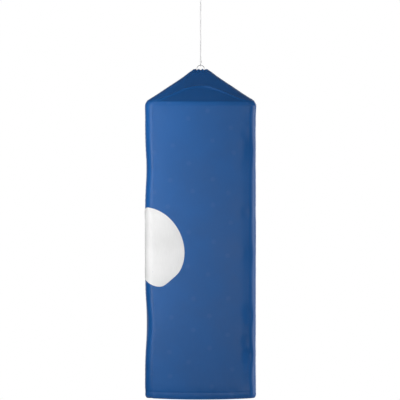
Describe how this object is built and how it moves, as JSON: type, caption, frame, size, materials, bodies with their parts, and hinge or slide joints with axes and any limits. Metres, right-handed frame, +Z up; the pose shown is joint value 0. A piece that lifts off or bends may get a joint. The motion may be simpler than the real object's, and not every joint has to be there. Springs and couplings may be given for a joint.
{
  "type": "hanging fabric streamer",
  "caption": "Square fabric tube streamer with a gathered crown and a round white eye patch, held square by two rod frames and hung on a cord, ring and swivel from a ceiling hook.",
  "frame": {"origin": "middle of the ceiling plate's top face", "axes": "+Z up, out of the ceiling plate's face; -Y is the streamer's front; +X is the front's right"},
  "size_m": [0.3106, 0.3106, 1.2834],
  "materials": {
    "body_fabric": "satin",
    "crown_fabric": "satin",
    "seam_tape": "satin",
    "patch_fabric": "satin",
    "cord_braid": "matte",
    "bridle_line": "matte",
    "fibreglass": "satin",
    "joiner_vinyl": "matte",
    "collar_plastic": "satin",
    "steel": "satin",
    "white_enamel": "satin"
  },
  "bodies": {
    "ceiling_fitting": {"ceiling_plate": "white_enamel", "plate_screw_left": "steel", "plate_screw_right": "steel", "ceiling_hook": "steel"},
    "hook_ring": {"hook_ring": "steel"},
    "swivel": {"swivel_upper_eye": "steel", "swivel_barrel": "steel"},
    "cord_line": {"swivel_lower_eye": "steel", "cord_upper_loop": "cord_braid", "hanging_cord": "cord_braid", "cord_lower_loop": "cord_braid"},
    "neck_ring": {"neck_ring": "steel"},
    "streamer": {"neck_collar": "collar_plastic", "neck_pin": "steel", "body_panel_front": "body_fabric", "body_panel_right": "body_fabric", "body_panel_back": "body_fabric", "body_panel_left": "body_fabric", "corner_seam_front_left": "seam_tape", "corner_seam_front_right": "seam_tape", "corner_seam_back_right": "seam_tape", "corner_seam_back_left": "seam_tape", "crown_panel_front": "crown_fabric", "crown_panel_right": "crown_fabric", "crown_panel_back": "crown_fabric", "crown_panel_left": "crown_fabric", "crown_seam_front_left": "seam_tape", "crown_seam_front_right": "seam_tape", "crown_seam_back_right": "seam_tape", "crown_seam_back_left": "seam_tape", "eye_patch": "patch_fabric", "upper_rod_front": "fibreglass", "upper_rod_right": "fibreglass", "upper_rod_back": "fibreglass", "upper_rod_left": "fibreglass", "upper_joiner_front_left": "joiner_vinyl", "upper_joiner_front_right": "joiner_vinyl", "upper_joiner_back_right": "joiner_vinyl", "upper_joiner_back_left": "joiner_vinyl", "lower_rod_front": "fibreglass", "lower_rod_right": "fibreglass", "lower_rod_back": "fibreglass", "lower_rod_left": "fibreglass", "lower_joiner_front_left": "joiner_vinyl", "lower_joiner_front_right": "joiner_vinyl", "lower_joiner_back_right": "joiner_vinyl", "lower_joiner_back_left": "joiner_vinyl", "bridle_line_front_left": "bridle_line", "bridle_line_front_right": "bridle_line", "bridle_line_back_right": "bridle_line", "bridle_line_back_left": "bridle_line"}
  },
  "joints": [
    {"name": "hook_ring_swing", "type": "hinge", "parent": "ceiling_fitting", "child": "hook_ring", "pos_m": [0, 0, -0.04273], "axis": [1, 0, 0], "range_deg": [-30, 30]},
    {"name": "swivel_swing", "type": "hinge", "parent": "hook_ring", "child": "swivel", "pos_m": [0, 0, -0.05653], "axis": [0, 1, 0], "range_deg": [-30, 30]},
    {"name": "swivel_spin", "type": "hinge", "parent": "swivel", "child": "cord_line", "pos_m": [0, 0, -0.07973], "axis": [0, 0, 1], "continuous": true},
    {"name": "neck_ring_swing", "type": "hinge", "parent": "cord_line", "child": "neck_ring", "pos_m": [0, 0, -0.32133], "axis": [1, 0, 0], "range_deg": [-30, 30]},
    {"name": "streamer_tilt", "type": "hinge", "parent": "neck_ring", "child": "streamer", "pos_m": [0, 0, -0.33925], "axis": [0, 1, 0], "range_deg": [-25, 25]}
  ]
}
